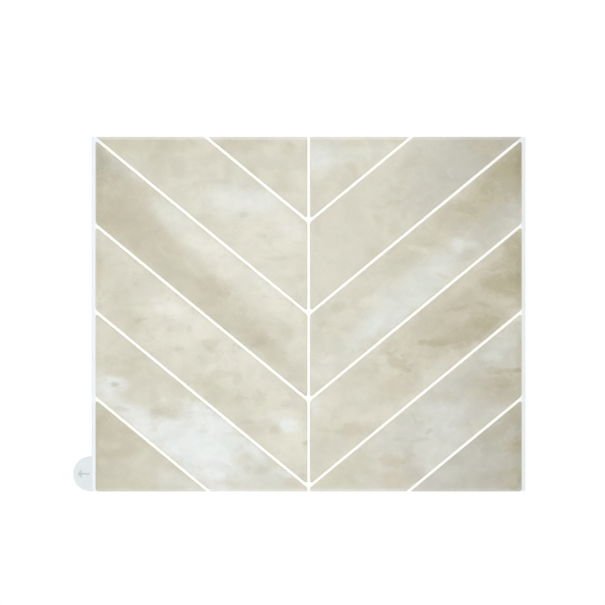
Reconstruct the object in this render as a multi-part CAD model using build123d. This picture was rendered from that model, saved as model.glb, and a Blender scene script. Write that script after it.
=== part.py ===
"""A self-adhesive wall tile sheet: raised tiles laid in a chevron on a white film, on its release liner.

The sheet lies flat with its face up. The origin is at the middle of the liner's underside, +X runs to
the sheet's right, +Y to its top edge and +Z out of its face. All lengths are in millimetres.
"""

from build123d import *
import os
from math import cos, radians, tan

# Backing film
FILM_WIDTH = 289.0
FILM_HEIGHT = 237.0
FILM_THICKNESS = 0.28
FILM_CORNER_RADIUS = 1.0

# Release liner behind the film, with its peel tab at the lower left
LINER_THICKNESS = 0.12
LINER_SIDE_MARGIN = 0.5
LINER_CORNER_RADIUS = 1.0
TAB_RADIUS = 11.7
TAB_REACH = 12.4

# Chevron: slanted joints that meet in a V on the sheet's middle line
TILE_ANGLE = 39.5
TILE_PITCH = 57.8
TOP_TILE_PITCH = 61.8
MIDDLE_JOINT_Y = 0.0
JOINTS_BELOW_MIDDLE = 3
JOINT_WIDTH = 2.1
SIDE_STRIP = 2.2

# Tile section: a flat top that rounds over at the joints and is bevelled along the sheet's top and bottom
TILE_HEIGHT = 1.2
RIM_RADIUS = 0.7
BEVEL_WIDTH = 2.0
BEVEL_DROP = 0.8

# Tile corners, seen from above; those on the cut top and bottom edges are square
ACUTE_CORNER_RADIUS = 1.0
OBTUSE_CORNER_RADIUS = 3.5
SHEET_CORNER_RADIUS = 1.8

# Share of a tile's side that one rounded corner may use up
CORNER_SHARE = 0.45
SAME_PLACE = 0.001

film_bottom = LINER_THICKNESS
film_top = film_bottom + FILM_THICKNESS
tile_top = film_top + TILE_HEIGHT
half_height = FILM_HEIGHT / 2
tile_inner_x = JOINT_WIDTH / 2
tile_outer_x = FILM_WIDTH / 2 - SIDE_STRIP
slope = tan(radians(TILE_ANGLE))
joint_half_rise = JOINT_WIDTH / 2 / cos(radians(TILE_ANGLE))


def release_liner():
    """The liner: a sheet a little wider than the film, fused with a tab that ends in a half disc."""
    width = FILM_WIDTH + 2 * LINER_SIDE_MARGIN
    sheet = RectangleRounded(width, FILM_HEIGHT, LINER_CORNER_RADIUS)
    tab_middle = -half_height + TAB_RADIUS
    neck_length = TAB_REACH - TAB_RADIUS + LINER_CORNER_RADIUS
    disc_x = -width / 2 - TAB_REACH + TAB_RADIUS
    disc = Pos(disc_x, tab_middle) * Circle(TAB_RADIUS)
    neck = Pos(disc_x, tab_middle) * Rectangle(neck_length, 2 * TAB_RADIUS, align=(Align.MIN, Align.CENTER))
    return extrude(sheet + disc + neck, LINER_THICKNESS)


def backing_film():
    """The white film that carries the tiles."""
    outline = RectangleRounded(FILM_WIDTH, FILM_HEIGHT, FILM_CORNER_RADIUS)
    return Pos(0, 0, film_bottom) * extrude(outline, FILM_THICKNESS)


def joint_heights():
    """Where each slanted joint meets the sheet's middle line, from the top joint down."""
    below = [MIDDLE_JOINT_Y - step * TILE_PITCH for step in range(JOINTS_BELOW_MIDDLE + 1)]
    return [MIDDLE_JOINT_Y + TOP_TILE_PITCH] + below


def band_corners(upper_joint, lower_joint):
    """The slanted band between two joints of the right half, run past both ends of the tile area."""
    left, right = 0.0, FILM_WIDTH / 2
    upper = upper_joint - joint_half_rise
    lower = lower_joint + joint_half_rise
    return [
        (left, lower + left * slope),
        (right, lower + right * slope),
        (right, upper + right * slope),
        (left, upper + left * slope),
    ]


def corner_radius(point, angle):
    """The rounding of one tile corner, by its angle and by the sheet edges that it touches."""
    at_cut = abs(abs(point.Y) - half_height) < SAME_PLACE
    at_side = abs(point.X - tile_outer_x) < SAME_PLACE
    if at_cut and at_side:
        return SHEET_CORNER_RADIUS
    if at_cut:
        return 0.0
    return ACUTE_CORNER_RADIUS if angle < 90 else OBTUSE_CORNER_RADIUS


def rounded_outline(flat):
    """The face of a polygon with each of its corners rounded, as far as the sides leave room."""
    points = [edge @ 0 for edge in flat.face().outer_wire().order_edges()]
    radii = []
    for index, point in enumerate(points):
        back = points[index - 1] - point
        ahead = points[(index + 1) % len(points)] - point
        angle = back.get_angle(ahead)
        room = CORNER_SHARE * min(back.length, ahead.length) * tan(radians(angle / 2))
        radii.append(min(corner_radius(point, angle), room))
    return make_face(FilletPolyline(*points, radius=radii, close=True))


def is_cut_edge(edge):
    """True for a straight edge that lies along the sheet's top or bottom."""
    box = edge.bounding_box()
    return box.size.Y < SAME_PLACE and abs(abs(box.center().Y) - half_height) < SAME_PLACE


def bevel_wedge():
    """What the bevel takes off the tiles along the sheet's top edge."""
    ridge = (half_height - BEVEL_WIDTH, tile_top)
    low = (half_height + BEVEL_WIDTH, tile_top - 2 * BEVEL_DROP)
    high = (half_height + BEVEL_WIDTH, tile_top + BEVEL_DROP)
    return extrude(Plane.YZ * Polygon(ridge, low, high, align=None), FILM_WIDTH / 2, both=True)


def right_tile(upper_joint, lower_joint):
    """One tile of the right half: a band between two joints, trimmed to its half, with a soft rim."""
    area = Pos((tile_inner_x + tile_outer_x) / 2, 0) * Rectangle(tile_outer_x - tile_inner_x, FILM_HEIGHT)
    band = Polygon(*band_corners(upper_joint, lower_joint), align=None)
    block = Pos(0, 0, film_top) * extrude(rounded_outline(area & band), TILE_HEIGHT)
    top = block.faces().sort_by(Axis.Z)[-1]
    rim = [edge for edge in top.edges() if not is_cut_edge(edge)]
    tile = fillet(rim, RIM_RADIUS)
    wedge = bevel_wedge()
    return tile - wedge - mirror(wedge, Plane.XZ)


def tiles():
    """Every tile by its node name, numbered from the top of each half."""
    beyond = FILM_HEIGHT + FILM_WIDTH * slope
    bounds = [beyond] + joint_heights() + [-beyond]
    named = {}
    for number, (upper, lower) in enumerate(zip(bounds, bounds[1:]), start=1):
        tile = right_tile(upper, lower)
        named[f"tile_right_{number}"] = tile
        named[f"tile_left_{number}"] = mirror(tile, Plane.YZ)
    return named


nodes = {"release_liner": release_liner(), "backing_film": backing_film(), **tiles()}
os.makedirs("parts", exist_ok=True)
for name, solid in nodes.items():
    export_step(solid, f"parts/{name}.step")
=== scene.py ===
"""The looks of a self-adhesive wall tile sheet: printed gel tiles in a chevron on a white film.

The sheet lies face up on a white table, and the camera looks straight down on it.
"""

import logging
from contextlib import contextmanager
from dataclasses import dataclass, field
from enum import Enum
from math import cos, pi, radians, sin, tan
from typing import Any, Callable, ClassVar, Iterator, Optional

import bmesh
import bpy
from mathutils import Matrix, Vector


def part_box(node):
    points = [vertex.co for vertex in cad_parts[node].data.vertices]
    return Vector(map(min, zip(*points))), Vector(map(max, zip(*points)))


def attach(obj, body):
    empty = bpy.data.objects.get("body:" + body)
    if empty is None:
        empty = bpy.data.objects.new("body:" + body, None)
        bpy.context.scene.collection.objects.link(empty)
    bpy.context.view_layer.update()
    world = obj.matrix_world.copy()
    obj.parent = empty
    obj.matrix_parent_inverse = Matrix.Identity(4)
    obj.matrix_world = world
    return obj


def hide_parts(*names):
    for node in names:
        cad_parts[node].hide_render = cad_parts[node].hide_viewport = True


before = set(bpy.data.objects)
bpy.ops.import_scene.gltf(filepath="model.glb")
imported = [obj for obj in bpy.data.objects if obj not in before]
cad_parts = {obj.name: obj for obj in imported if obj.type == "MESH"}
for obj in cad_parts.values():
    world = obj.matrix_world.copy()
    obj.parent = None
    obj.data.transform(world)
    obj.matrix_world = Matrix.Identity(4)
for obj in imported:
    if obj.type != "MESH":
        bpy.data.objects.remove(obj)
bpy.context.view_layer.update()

log = logging.getLogger("tile_sheet")

MM = 0.001
NEAR = 1e-6  # two places closer than this are one
LEVEL = 0.999  # a level face's normal points up by at least this
BODY = "root"

RGB = tuple[int, int, int]
Colour = tuple[float, float, float, float]
Pair = tuple[float, float]
Triple = tuple[float, float, float]
WHITE: Colour = (1.0, 1.0, 1.0, 1.0)
VECTOR, FLOAT = "NodeSocketVector", "NodeSocketFloat"


def linear(srgb: RGB) -> Colour:
    """Turn an eight-bit display colour into the linear colour that a shader socket takes.

    Args:
        srgb: Red, green and blue from 0 to 255, as a screen shows them.

    Returns:
        The same colour in linear light, with full alpha.
    """
    def channel(value: int) -> float:
        """One channel in linear light, by the sRGB curve."""
        share = value / 255
        return share / 12.92 if share <= 0.04045 else ((share + 0.055) / 1.055) ** 2.4

    red, green, blue = (channel(value) for value in srgb)
    return red, green, blue, 1.0


class Side(Enum):
    """The two mirrored halves of the chevron."""

    LEFT = -1
    RIGHT = 1

    @property
    def word(self) -> str:
        """The half's name as the nodes spell it."""
        return self.name.lower()


class Tone(Enum):
    """The inks of the stone print, also used for its painted shade and highlight, as eight-bit display
    colours.
    """

    SAND = (214, 211, 196)
    IVORY = (225, 223, 209)
    VEIL = (231, 234, 233)
    BLUSH = (232, 229, 221)
    PEARL = (219, 221, 214)
    MIST = (206, 206, 198)
    ASH = (193, 191, 179)
    SMOKE = (176, 172, 158)
    OLIVE = (202, 199, 179)
    TAN = (197, 190, 169)
    OCHRE = (175, 167, 139)
    UMBER = (151, 142, 114)

    @property
    def ink(self) -> Colour:
        """The tone as a shader colour."""
        return linear(self.value)


class Edge(Enum):
    """How a wash ends: where it starts to show, where it is full and how far it is torn, in half sizes."""

    SOFT = (1.45, 0.3, 0.9)
    RAGGED = (1.35, 0.45, 1.9)


def deselect_all() -> None:
    """Leave no object selected, so that an operator acts on nothing by accident."""
    bpy.ops.object.select_all(action="DESELECT")


def take(piece: bpy.types.Object) -> None:
    """Make one object the only selected one and the active one.

    Args:
        piece: The object that the next operators act on.
    """
    deselect_all()
    piece.select_set(True)
    bpy.context.view_layer.objects.active = piece


@contextmanager
def editing(piece: bpy.types.Object) -> Iterator[None]:
    """Open a piece in edit mode, all selected, for the length of a with block.

    Args:
        piece: The mesh object to edit.

    Yields:
        Nothing: the block itself does the editing.
    """
    take(piece)
    bpy.ops.object.mode_set(mode="EDIT")
    bpy.ops.mesh.select_all(action="SELECT")
    yield
    bpy.ops.object.mode_set(mode="OBJECT")


def _pick(piece: bpy.types.Object, kind: str, items: Callable[[bmesh.types.BMesh], Any],
          wanted: Callable[[Any], bool]) -> int:
    """Select the elements of one kind that a test accepts, in edit mode.

    Args:
        piece: The mesh object in edit mode.
        kind: The select mode: VERT, EDGE or FACE.
        items: Gives the mesh's elements of that kind.
        wanted: The test.

    Returns:
        How many elements were selected.
    """
    bpy.ops.mesh.select_mode(type=kind)
    bpy.ops.mesh.select_all(action="DESELECT")
    mesh = bmesh.from_edit_mesh(piece.data)
    mesh.normal_update()
    found = [item for item in items(mesh) if wanted(item)]
    for item in found:
        item.select_set(True)
    mesh.select_flush_mode()
    bmesh.update_edit_mesh(piece.data)
    return len(found)


def pick_faces(piece: bpy.types.Object, wanted: Callable[[bmesh.types.BMFace], bool]) -> int:
    """Select the faces that a test on place or normal accepts, in edit mode."""
    return _pick(piece, "FACE", lambda mesh: mesh.faces, wanted)


def pick_edges(piece: bpy.types.Object, wanted: Callable[[bmesh.types.BMEdge], bool]) -> int:
    """Select the edges that a test on place or faces accepts, in edit mode."""
    return _pick(piece, "EDGE", lambda mesh: mesh.edges, wanted)


def pick_vertices(piece: bpy.types.Object, wanted: Callable[[bmesh.types.BMVert], bool]) -> int:
    """Select the vertices that a test on place accepts, in edit mode."""
    return _pick(piece, "VERT", lambda mesh: mesh.verts, wanted)


def face_outwards() -> None:
    """Turn every face of the mesh in edit mode outwards."""
    bpy.ops.mesh.select_all(action="SELECT")
    bpy.ops.mesh.normals_make_consistent(inside=False)


def face_up(piece: bpy.types.Object) -> None:
    """Turn every face of a thin sheet in edit mode upwards.

    Args:
        piece: The sheet.
    """
    face_outwards()
    mesh = bmesh.from_edit_mesh(piece.data)
    if sum(face.normal.z for face in mesh.faces) < 0:
        bpy.ops.mesh.flip_normals()


def new_plane(name: str, low: Pair, high: Pair, height: float) -> bpy.types.Object:
    """A level plane between two corners.

    Args:
        name: The object's name.
        low: The corner with the smaller x and y.
        high: The opposite corner.
        height: The plane's z.

    Returns:
        The plane, with its place in its mesh.
    """
    deselect_all()
    middle = ((low[0] + high[0]) / 2, (low[1] + high[1]) / 2, height)
    bpy.ops.mesh.primitive_plane_add(size=1.0, location=middle)
    piece = bpy.context.object
    piece.name = piece.data.name = name
    piece.scale = (high[0] - low[0], high[1] - low[1], 1.0)
    bpy.ops.object.transform_apply(location=True, rotation=False, scale=True)
    return piece


def apply_modifier(piece: bpy.types.Object, kind: str, **settings: Any) -> None:
    """Add a modifier to a piece and apply it.

    Args:
        piece: The mesh object.
        kind: The modifier's type name.
        **settings: The modifier's properties.
    """
    take(piece)
    modifier = piece.modifiers.new(kind.lower(), kind)
    for name, value in settings.items():
        setattr(modifier, name, value)
    bpy.ops.object.modifier_apply(modifier=modifier.name)


class NodeBench:
    """Adds nodes to one tree and wires them."""

    def __init__(self, tree: bpy.types.NodeTree) -> None:
        """Keep the tree that the nodes go into."""
        self.tree = tree

    def add(self, kind: str, inputs: Optional[dict[Any, Any]] = None, **settings: Any) -> bpy.types.Node:
        """Add one node.

        Args:
            kind: The node's type name.
            inputs: Input name or index to a value, or to an output socket to link.
            **settings: Properties of the node itself.

        Returns:
            The new node.
        """
        node = self.tree.nodes.new(kind)
        for name, value in settings.items():
            setattr(node, name, value)
        for key, value in (inputs or {}).items():
            if isinstance(value, bpy.types.NodeSocket):
                self.tree.links.new(value, node.inputs[key])
            else:
                node.inputs[key].default_value = value
        return node

    def group(self, tree: bpy.types.NodeTree, **inputs: Any) -> bpy.types.Node:
        """A node group with its inputs set to values or linked to sockets."""
        return self.add("ShaderNodeGroup", inputs, node_tree=tree)

    def position(self) -> bpy.types.NodeSocket:
        """The place on the piece, in metres."""
        return self.add("ShaderNodeTexCoord").outputs["Object"]

    def maths(self, operation: str, *values: Any) -> bpy.types.NodeSocket:
        """The result of a math node on numbers or sockets."""
        return self.add("ShaderNodeMath", dict(enumerate(values)), operation=operation).outputs[0]

    def vector(self, operation: str, *values: Any) -> bpy.types.NodeSocket:
        """The vector that a vector math node makes of vectors or sockets."""
        return self.add("ShaderNodeVectorMath", dict(enumerate(values)), operation=operation).outputs[0]

    def length(self, vector: bpy.types.NodeSocket) -> bpy.types.NodeSocket:
        """The length of a vector."""
        return self.add("ShaderNodeVectorMath", {0: vector}, operation="LENGTH").outputs["Value"]

    def ramp(self, value: Any, low: Any, high: Any, to_low: float = 0.0,
             to_high: float = 1.0) -> bpy.types.NodeSocket:
        """A smooth step from one result to another while a value goes from low to high."""
        inputs = {"Value": value, "From Min": low, "From Max": high, "To Min": to_low, "To Max": to_high}
        return self.add("ShaderNodeMapRange", inputs, interpolation_type="SMOOTHSTEP").outputs["Result"]

    def mix(self, share: Any, below: Any, above: Any, blend: str = "MIX") -> bpy.types.NodeSocket:
        """One colour with a share, from 0 to 1, of another blended over it."""
        node = self.add("ShaderNodeMix", {0: share, 6: below, 7: above}, data_type="RGBA", blend_type=blend)
        return node.outputs[2]

    def stretched(self, place: Any, scale: Triple, turn: float = 0.0) -> bpy.types.NodeSocket:
        """A position scaled along each axis and turned, in degrees, about the sheet's normal."""
        inputs = {"Vector": place, "Rotation": (0.0, 0.0, radians(turn)), "Scale": scale}
        return self.add("ShaderNodeMapping", inputs).outputs[0]

    def link(self, output: bpy.types.NodeSocket, target: bpy.types.NodeSocket) -> None:
        """Wire an output to an input."""
        self.tree.links.new(output, target)


class GroupBench(NodeBench):
    """A bench for a new node group with named inputs and outputs."""

    def __init__(self, name: str, inputs: dict[str, str], outputs: dict[str, str]) -> None:
        """Make the group and its sockets.

        Args:
            name: The group's name.
            inputs: Input name to socket type.
            outputs: Output name to socket type.
        """
        super().__init__(bpy.data.node_groups.new(name, "ShaderNodeTree"))
        for in_out, sockets in (("INPUT", inputs), ("OUTPUT", outputs)):
            for socket, kind in sockets.items():
                self.tree.interface.new_socket(socket, in_out=in_out, socket_type=kind)
        self.given = self.add("NodeGroupInput").outputs
        self.results = self.add("NodeGroupOutput").inputs

    def put(self, name: str, output: bpy.types.NodeSocket) -> None:
        """Wire an output to one of the group's results."""
        self.link(output, self.results[name])

    def seeded(self) -> bpy.types.NodeSocket:
        """The group's Position moved off the sheet by its Seed, so that each tile reads another pattern."""
        shift = self.add("ShaderNodeCombineXYZ", {"Z": self.given["Seed"]}).outputs[0]
        return self.vector("ADD", self.given["Position"], shift)


@dataclass(frozen=True)
class Noise:
    """A noise: features per metre, octaves, their roughness, how far it is stirred and the span in use."""

    scale: float
    octaves: float
    roughness: float = 0.5
    stir: float = 0.0
    span: Pair = (0.0, 1.0)
    middle: ClassVar[float] = 0.5

    def node(self, bench: NodeBench, place: Any) -> bpy.types.Node:
        """The noise texture that reads a place."""
        inputs = {"Vector": place, "Scale": self.scale, "Detail": self.octaves, "Roughness": self.roughness,
                  "Distortion": self.stir}
        return bench.add("ShaderNodeTexNoise", inputs)

    def plain(self, bench: NodeBench, place: Any) -> bpy.types.NodeSocket:
        """The pattern's own values at a place."""
        return self.node(bench, place).outputs["Fac"]

    def spread(self, bench: NodeBench, place: Any, to_low: float = 0.0) -> bpy.types.NodeSocket:
        """The span of the pattern at a place, stretched to end at 1."""
        return bench.ramp(self.plain(bench, place), *self.span, to_low)


@dataclass(frozen=True)
class Relief:
    """How far a height pattern bends the light, and the pattern's depth in metres."""

    strength: float
    depth: float

    def normal(self, bench: NodeBench, height: bpy.types.NodeSocket) -> bpy.types.NodeSocket:
        """The normal that the pattern gives a surface."""
        inputs = {"Strength": self.strength, "Distance": self.depth, "Height": height}
        return bench.add("ShaderNodeBump", inputs).outputs[0]


class Pattern:
    """The noises of the stone print and of the gel over it."""

    SWIRL = Noise(34.0, 2.0, 0.6)
    EDDY = Noise(130.0, 4.0, 0.6)
    TEAR = Noise(150.0, 7.0, 0.64, 0.6)
    DRIFT = Noise(85.0, 4.0, 0.6, 0.4, span=(0.32, 0.68))
    CLOUD = Noise(60.0, 6.0, 0.6, 0.5, span=(0.3, 0.7))
    CLUSTER = Noise(50.0, 2.0, span=(0.48, 0.66))
    SPOT = Noise(190.0, 5.0, 0.62, 0.8, span=(0.5, 0.64))
    BLOOM = Noise(120.0, 5.0, 0.6, 1.0, span=(0.52, 0.7))
    GRAIN = Noise(1100.0, 3.0, 0.6, span=(0.3, 0.7))
    RIPPLE = Noise(110.0, 2.0)
    SKIN = Noise(1500.0, 2.0)


@dataclass(frozen=True)
class PrintGroups:
    """The node groups that the printed tiles share."""

    stir: bpy.types.NodeTree
    wash: bpy.types.NodeTree
    mottle: bpy.types.NodeTree
    bevel: bpy.types.NodeTree
    ripple: bpy.types.NodeTree
    eddy_share: ClassVar[float] = 0.5
    tear_stretch: ClassVar[Triple] = (1.0, 1.35, 1.0)
    stone_stretch: ClassVar[Triple] = (1.0, 1.25, 1.0)
    drift_shift: ClassVar[Triple] = (0.7, 0.3, 0.0)
    bevel_blur: ClassVar[Pair] = (-0.2 * MM, 0.4 * MM)

    @classmethod
    def make(cls, bevel_from: float) -> "PrintGroups":
        """Build the groups once, for bevels that start at a distance from the middle, in metres."""
        return cls(cls._stir(), cls._wash(), cls._mottle(), cls._bevel(bevel_from), cls._ripple())

    @classmethod
    def _stir(cls) -> bpy.types.NodeTree:
        """A position pushed about by two noises, and a third noise that tears the washes' edges.

        Returns:
            The group.
        """
        inputs = {"Position": VECTOR, "Seed": FLOAT, "Reach": FLOAT}
        bench = GroupBench("print_stir", inputs, {"Position": VECTOR, "Tear": FLOAT})
        place = bench.seeded()
        moved = bench.given["Position"]
        for noise, share in ((Pattern.SWIRL, 1.0), (Pattern.EDDY, cls.eddy_share)):
            swirl = noise.node(bench, place).outputs["Color"]
            push = bench.vector("SUBTRACT", swirl, (Noise.middle,) * 3)
            reach = bench.maths("MULTIPLY", bench.given["Reach"], share)
            step = bench.add("ShaderNodeVectorMath", {0: push, "Scale": reach}, operation="SCALE").outputs[0]
            moved = bench.vector("ADD", moved, step)
        bench.put("Position", moved)
        tear = Pattern.TEAR.plain(bench, bench.stretched(place, cls.tear_stretch))
        bench.put("Tear", bench.maths("SUBTRACT", tear, Noise.middle))
        return bench.tree

    @staticmethod
    def _wash() -> bpy.types.NodeTree:
        """The mask of one oval wash of ink with a torn edge.

        Returns:
            The group.
        """
        inputs = {"Position": VECTOR, "Tear": FLOAT, "Centre": VECTOR, "Turn": VECTOR, "Size": VECTOR,
                  "Outer": FLOAT, "Inner": FLOAT, "Torn": FLOAT, "Strength": FLOAT}
        bench = GroupBench("print_wash", inputs, {"Mask": FLOAT})
        given = bench.given
        mapping = {"Vector": given["Position"], "Location": given["Centre"],
                   "Rotation": given["Turn"], "Scale": given["Size"]}
        local = bench.add("ShaderNodeMapping", mapping, vector_type="TEXTURE").outputs[0]
        away = bench.maths("MULTIPLY_ADD", given["Tear"], given["Torn"], bench.length(local))
        mask = bench.ramp(away, given["Outer"], given["Inner"])
        bench.put("Mask", bench.maths("MULTIPLY", mask, given["Strength"]))
        return bench.tree

    @classmethod
    def _mottle(cls) -> bpy.types.NodeTree:
        """The stone's own unevenness: clouds, a drift of hue, clustered stains, pale blooms and grain.

        Returns:
            The group.
        """
        outputs = {"Cloud": FLOAT, "Drift": FLOAT, "Stain": FLOAT, "Bloom": FLOAT, "Grain": FLOAT}
        bench = GroupBench("print_mottle", {"Position": VECTOR, "Seed": FLOAT}, outputs)
        place = bench.stretched(bench.seeded(), cls.stone_stretch)
        bench.put("Drift", Pattern.DRIFT.spread(bench, bench.vector("ADD", place, cls.drift_shift)))
        bench.put("Cloud", Pattern.CLOUD.spread(bench, place))
        cluster, spots = (pattern.spread(bench, place) for pattern in (Pattern.CLUSTER, Pattern.SPOT))
        bench.put("Stain", bench.maths("MULTIPLY", cluster, spots))
        bench.put("Bloom", Pattern.BLOOM.spread(bench, place))
        bench.put("Grain", Pattern.GRAIN.plain(bench, place))
        return bench.tree

    @classmethod
    def _bevel(cls, bevel_from: float) -> bpy.types.NodeTree:
        """Where a tile is bevelled along the sheet's top or bottom edge, which the print lightens as a
        painted highlight.

        Args:
            bevel_from: How far from the middle the bevels start, in metres.

        Returns:
            The group.
        """
        bench = GroupBench("bevel_mask", {"Position": VECTOR}, {"Mask": FLOAT})
        height = bench.add("ShaderNodeSeparateXYZ", {0: bench.given["Position"]}).outputs["Y"]
        start, end = (bevel_from + blur for blur in cls.bevel_blur)
        bench.put("Mask", bench.ramp(bench.maths("ABSOLUTE", height), start, end))
        return bench.tree

    @staticmethod
    def _ripple() -> bpy.types.NodeTree:
        """The height of a poured surface: a slow ripple and a faint skin of fine pits.

        Returns:
            The group.
        """
        bench = GroupBench("gel_ripple", {"Position": VECTOR, "Skin": FLOAT}, {"Height": FLOAT})
        slow, skin = (noise.plain(bench, bench.given["Position"]) for noise in (Pattern.RIPPLE, Pattern.SKIN))
        bench.put("Height", bench.maths("MULTIPLY_ADD", skin, bench.given["Skin"], slow))
        return bench.tree


def surface(name: str, **constants: Any) -> tuple[bpy.types.Material, NodeBench, bpy.types.NodeInputs]:
    """A material with a Principled shader whose constant sockets are set.

    Args:
        name: The material's name.
        **constants: Socket names, with underscores for spaces, to values.

    Returns:
        The material, a bench for its tree and its shader's inputs.
    """
    material = bpy.data.materials.new(name)
    material.use_nodes = True
    shader = next(node for node in material.node_tree.nodes if node.type == "BSDF_PRINCIPLED")
    for socket, value in constants.items():
        shader.inputs[socket.replace("_", " ")].default_value = value
    return material, NodeBench(material.node_tree), shader.inputs


@dataclass(frozen=True)
class Wash:
    """One patch of a tone in the print, some of them painted shade: its place, half sizes and turn on the
    sheet, in mm and degrees.
    """

    tone: Tone
    x: float
    y: float
    long: float
    short: float
    strength: float
    turn: float = 0.0
    edge: Edge = Edge.SOFT

    def mask(self, bench: NodeBench, group: bpy.types.NodeTree,
             stirred: bpy.types.Node) -> bpy.types.NodeSocket:
        """Where the wash shows.

        Args:
            bench: The material's bench.
            group: The shared wash group.
            stirred: The stir group in this material.

        Returns:
            The mask's socket.
        """
        outer, inner, ragged = self.edge.value
        node = bench.group(
            group, Position=stirred.outputs["Position"], Tear=stirred.outputs["Tear"],
            Centre=(self.x * MM, self.y * MM, 0.0), Turn=(0.0, 0.0, radians(self.turn)),
            Size=(self.long * MM, self.short * MM, 1.0), Outer=outer, Inner=inner, Torn=ragged,
            Strength=self.strength)
        return node.outputs["Mask"]


def torn(tone: Tone, x: float, y: float, long: float, short: float, strength: float,
         turn: float = 0.0) -> Wash:
    """A wash with a ragged edge."""
    return Wash(tone, x, y, long, short, strength, turn, Edge.RAGGED)


@dataclass(frozen=True)
class StonePrint:
    """A tile's printed stone under its clear gel, with painted shade in some washes and a painted highlight
    on the bevels.
    """

    seed: float
    ground: Tone
    washes: tuple[Wash, ...]
    reach: float = 7 * MM
    stain: float = 0.25
    bloom: float = 0.15
    # How far the bevel strips are lightened toward VEIL: a painted highlight.
    bevel_highlight: float = 0.2
    cloud: float = 0.04
    grain: float = 0.015
    rosy: Colour = (1.008, 0.996, 1.002, 1.0)
    mossy: Colour = (0.992, 1.008, 0.986, 1.0)
    roughness: Pair = (0.28, 0.38)
    skin: float = 0.12
    relief: Relief = Relief(0.12, 0.05 * MM)

    def material(self, name: str, groups: PrintGroups) -> bpy.types.Material:
        """The tile's finish.

        Args:
            name: The tile's name.
            groups: The shared print groups.

        Returns:
            A glossy material with this print.
        """
        material, bench, shader = surface(f"{name}_print", Specular_IOR_Level=0.1, Coat_Weight=1.0,
                                          Coat_Roughness=0.06, Coat_IOR=1.46)
        position = bench.position()
        mottle = bench.group(groups.mottle, Position=position, Seed=self.seed)
        stirred = bench.group(groups.stir, Position=position, Seed=self.seed, Reach=self.reach)
        colour: Any = self.ground.ink
        for wash in self.washes:
            colour = bench.mix(wash.mask(bench, groups.wash, stirred), colour, wash.tone.ink)
        colour = self._mottled(bench, colour, mottle)
        # Painted highlight: the bevel strips along the top and bottom edges are lightened toward VEIL.
        bevel = bench.group(groups.bevel, Position=position).outputs["Mask"]
        colour = bench.mix(bench.maths("MULTIPLY", bevel, self.bevel_highlight), colour, Tone.VEIL.ink)
        bench.link(colour, shader["Base Color"])
        bench.link(bench.ramp(mottle.outputs["Cloud"], 0.0, 1.0, *self.roughness), shader["Roughness"])
        ripple = bench.group(groups.ripple, Position=position, Skin=self.skin).outputs["Height"]
        bench.link(self.relief.normal(bench, ripple), shader["Normal"])
        return material

    def _mottled(self, bench: NodeBench, colour: bpy.types.NodeSocket,
                 mottle: bpy.types.Node) -> bpy.types.NodeSocket:
        """The washed colour with the stone's unevenness over it.

        Args:
            bench: The material's bench.
            colour: The washed colour.
            mottle: The mottle group in this material.

        Returns:
            The colour's socket.
        """
        grain = bench.ramp(mottle.outputs["Grain"], *Pattern.GRAIN.span, 1.0 - self.grain, 1.0 + self.grain)
        clouds = bench.ramp(mottle.outputs["Cloud"], 0.0, 1.0, 1.0 - self.cloud, 1.0 + self.cloud)
        shade = bench.maths("MULTIPLY", clouds, grain)
        tint = bench.add("ShaderNodeCombineColor", {"Red": shade, "Green": shade, "Blue": shade}).outputs[0]
        colour = bench.mix(1.0, colour, tint, "MULTIPLY")
        drift = bench.mix(mottle.outputs["Drift"], self.rosy, self.mossy)
        colour = bench.mix(1.0, colour, drift, "MULTIPLY")
        stains = bench.maths("MULTIPLY", mottle.outputs["Stain"], self.stain)
        colour = bench.mix(stains, colour, Tone.TAN.ink)
        blooms = bench.maths("MULTIPLY", mottle.outputs["Bloom"], self.bloom)
        return bench.mix(blooms, colour, Tone.IVORY.ink)


# Part of the darkening is painted shade: the narrow washes along the outer ends (x = ±143 mm), the dark
# washes in the corners and the darker washes and grounds toward the right stand for light falling off toward
# the sides, corners and right of the sheet; the rest is the stone's own print.
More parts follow.
